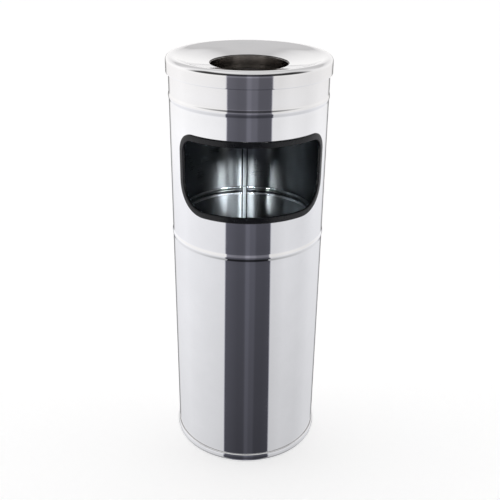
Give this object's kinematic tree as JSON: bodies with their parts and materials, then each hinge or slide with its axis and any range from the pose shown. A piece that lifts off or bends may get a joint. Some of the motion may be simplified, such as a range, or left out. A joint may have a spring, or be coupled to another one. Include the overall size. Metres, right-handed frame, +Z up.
{
  "type": "ashtray bin",
  "caption": "Round free-standing litter bin with a wide front mouth, a lift-off ashtray head with an ash cup, and a removable inner bucket.",
  "frame": {"origin": "on the floor, under the middle of the body", "axes": "+Z up along the body's axis; the front mouth faces -Y; +X to the right as seen from the front"},
  "size_m": [0.2474, 0.2474, 0.6599],
  "materials": {
    "polished_stainless": "mirror-polished stainless steel",
    "brushed_stainless": "spun satin stainless steel",
    "steel_wire": "bright drawn",
    "black_pvc": "extruded, satin black",
    "foot_rubber": "matte black"
  },
  "bodies": {
    "bin": {"body_shell": "polished_stainless", "opening_trim": "black_pvc", "base_pan": "polished_stainless", "foot_ring": "foot_rubber"},
    "head": {"head_dish": "polished_stainless", "ash_collar": "brushed_stainless"},
    "cup": {"ash_cup": "brushed_stainless"},
    "bucket": {"inner_bucket": "polished_stainless", "bucket_base": "polished_stainless", "bucket_rim_wire": "steel_wire", "bail_ear_left": "brushed_stainless", "bail_ear_right": "brushed_stainless", "ear_rivet_1": "steel_wire", "ear_rivet_2": "steel_wire", "ear_rivet_3": "steel_wire", "ear_rivet_4": "steel_wire"},
    "bail": {"bail_handle": "steel_wire"}
  },
  "joints": [
    {"name": "head_lift", "type": "slide", "parent": "bin", "child": "head", "axis": [0, 0, 1], "range_m": [0, 0.75]},
    {"name": "cup_lift", "type": "slide", "parent": "head", "child": "cup", "axis": [0, 0, 1], "range_m": [0, 0.16]},
    {"name": "bucket_lift", "type": "slide", "parent": "bin", "child": "bucket", "axis": [0, 0, 1], "range_m": [0, 0.66]},
    {"name": "bail_swing", "type": "hinge", "parent": "bucket", "child": "bail", "pos_m": [0, 0, 0.4149], "axis": [-1, 0, 0], "range_deg": [0, 90]}
  ],
  "couplings": [
    {"joint": "bucket_lift", "follows": "head_lift", "ratio": 0.88}
  ]
}
